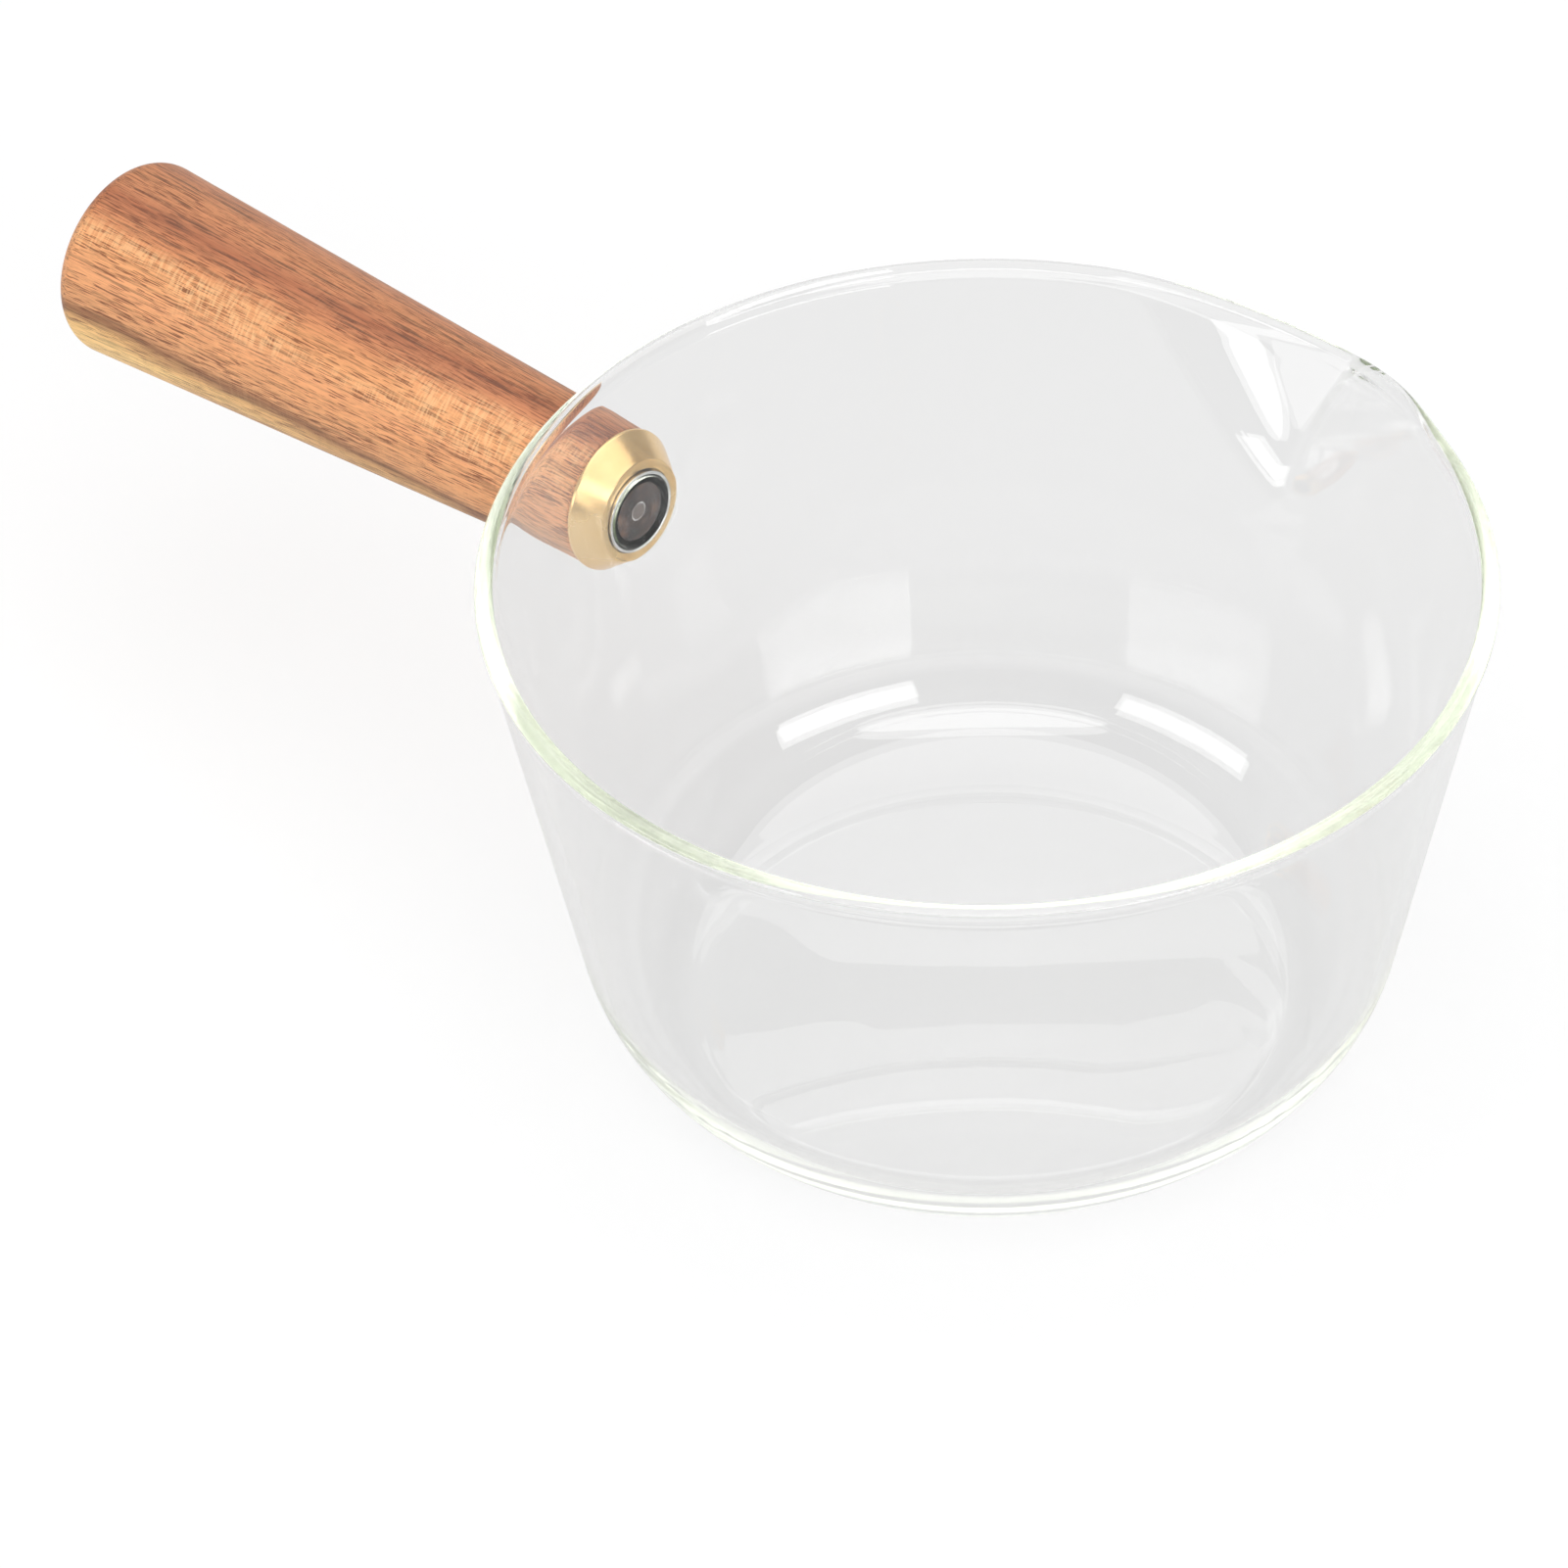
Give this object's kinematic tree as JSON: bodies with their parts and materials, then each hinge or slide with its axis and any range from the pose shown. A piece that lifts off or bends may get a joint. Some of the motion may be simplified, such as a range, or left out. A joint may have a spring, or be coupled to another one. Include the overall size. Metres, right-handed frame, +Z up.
{
  "type": "glass milk pan",
  "caption": "Round clear glass milk pan with a beaded rim, a pulled pouring spout, a flat base and a tapered wooden side handle screwed on behind a brass ferrule.",
  "frame": {"origin": "middle of the bowl's flat underside, on the surface that it stands on", "axes": "+Z up through the bowl's mouth, +X out along the handle seen from above, -Y towards the spout"},
  "size_m": [0.2364, 0.1508, 0.0774],
  "materials": {
    "clear_glass": "clear, fire polished, faint green in the thick rim",
    "dark_cement": "dark brown resin, wet looking",
    "steel": "bright turned steel",
    "clear_silicone": "clear soft ring",
    "brass": "satin turned brass",
    "insert_brass": "plain machined brass",
    "wood": "oiled reddish brown wood with dark pores"
  },
  "bodies": {
    "pan": {"glass_bowl": "clear_glass", "stub_cement": "dark_cement", "handle_stud": "steel", "wall_gasket": "clear_silicone"},
    "collar": {"brass_ferrule": "brass"},
    "handle": {"wooden_handle": "wood", "steel_liner": "steel", "threaded_insert": "insert_brass"}
  },
  "joints": [
    {"name": "collar_slide", "type": "slide", "parent": "pan", "child": "collar", "axis": [0.9974, 0, -0.0715], "range_m": [0, 0.0121]},
    {"name": "handle_turn", "type": "hinge", "parent": "collar", "child": "handle", "pos_m": [0.06455, 0, 0.0529], "axis": [0.9974, 0, -0.0715], "range_deg": [0, 4320]}
  ],
  "couplings": [
    {"joint": "collar_slide", "follows": "handle_turn", "m_per_rad": 0.00015915}
  ]
}
